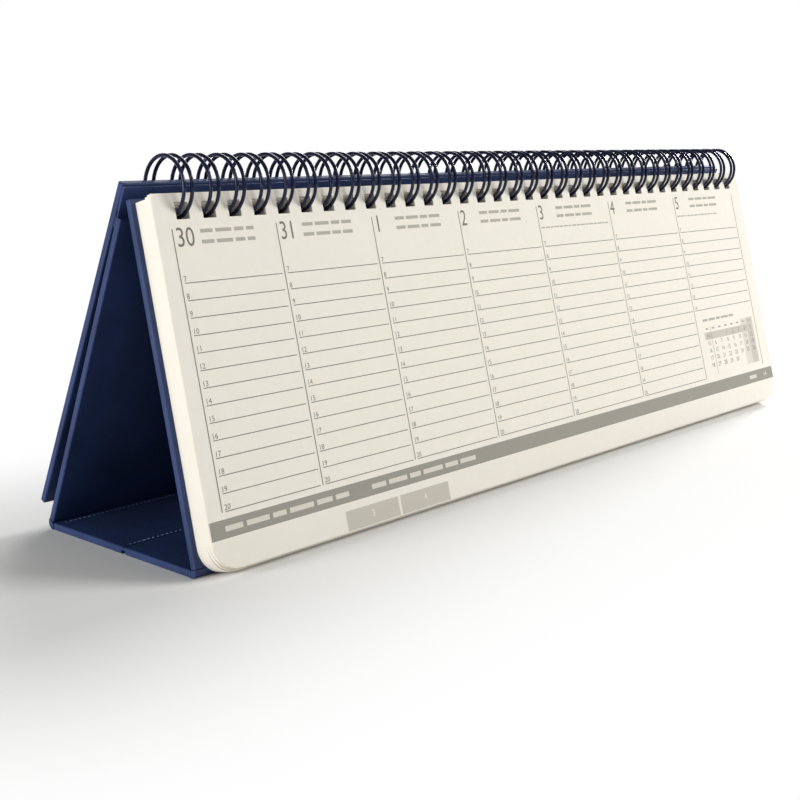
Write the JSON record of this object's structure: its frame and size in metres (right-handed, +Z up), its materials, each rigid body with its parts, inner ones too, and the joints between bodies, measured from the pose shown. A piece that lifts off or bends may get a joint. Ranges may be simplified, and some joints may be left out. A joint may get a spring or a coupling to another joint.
{
  "type": "desk diary",
  "caption": "Tent-shaped desk diary: wire-bound week leaves on a folding stand of covered boards, with the front cover turned over to the back.",
  "frame": {"origin": "on the table, under the middle of the object's outer box", "axes": "+X along the binding, -Y towards the reader, +Z up"},
  "size_m": [0.3, 0.0763, 0.1041],
  "materials": {
    "board": "matte",
    "leatherette": "fine grain",
    "lining": "matte",
    "paper": "matte",
    "wire": "satin"
  },
  "bodies": {
    "pad": {"front_panel_board": "board", "front_panel_covering": "leatherette", "front_panel_lining": "lining", "leaf_pack_1": "paper", "leaf_pack_2": "paper", "leaf_pack_3": "paper", "leaf_pack_4": "paper", "leaf_pack_5": "paper", "leaf_pack_6": "paper", "binding_wire": "wire", "binding_flap": "leatherette", "front_fold_skin": "leatherette"},
    "rear_panel": {"rear_panel_board": "board", "rear_panel_covering": "leatherette", "rear_panel_lining": "lining", "rear_fold_skin": "leatherette"},
    "foot_front": {"foot_front_board": "board", "foot_front_covering": "leatherette", "foot_front_lining": "lining", "crease_strip": "leatherette"},
    "foot_rear": {"foot_rear_board": "board", "foot_rear_covering": "leatherette", "foot_rear_lining": "lining"},
    "cover": {"front_cover_board": "board", "front_cover_covering": "leatherette", "front_cover_lining": "lining"},
    "leaf": {"current_leaf": "paper"}
  },
  "joints": [
    {"name": "stand_fold", "type": "hinge", "parent": "pad", "child": "rear_panel", "pos_m": [0, -0.00583, 0.0877], "axis": [-1, 0, 0], "range_deg": [0, 30]},
    {"name": "foot_front_fold", "type": "hinge", "parent": "pad", "child": "foot_front", "pos_m": [0, -0.02953, 0.002], "axis": [1, 0, 0], "range_deg": [0, 65.88], "deforming": ["front_fold_skin", "crease_strip"]},
    {"name": "foot_rear_fold", "type": "hinge", "parent": "rear_panel", "child": "foot_rear", "pos_m": [0, 0.03232, 0.002], "axis": [-1, 0, 0], "range_deg": [0, 56.04], "deforming": ["rear_fold_skin"]},
    {"name": "cover_turn", "type": "hinge", "parent": "pad", "child": "cover", "pos_m": [0, -0.01233, 0.0956], "axis": [1, 0, 0], "range_deg": [0, 65]},
    {"name": "leaf_turn", "type": "hinge", "parent": "pad", "child": "leaf", "pos_m": [0, -0.01233, 0.0956], "axis": [-1, 0, 0], "range_deg": [0, 110]}
  ],
  "couplings": [
    {"joint": "foot_front_fold", "follows": "stand_fold", "ratio": 2.196},
    {"joint": "foot_rear_fold", "follows": "stand_fold", "ratio": 1.868}
  ]
}
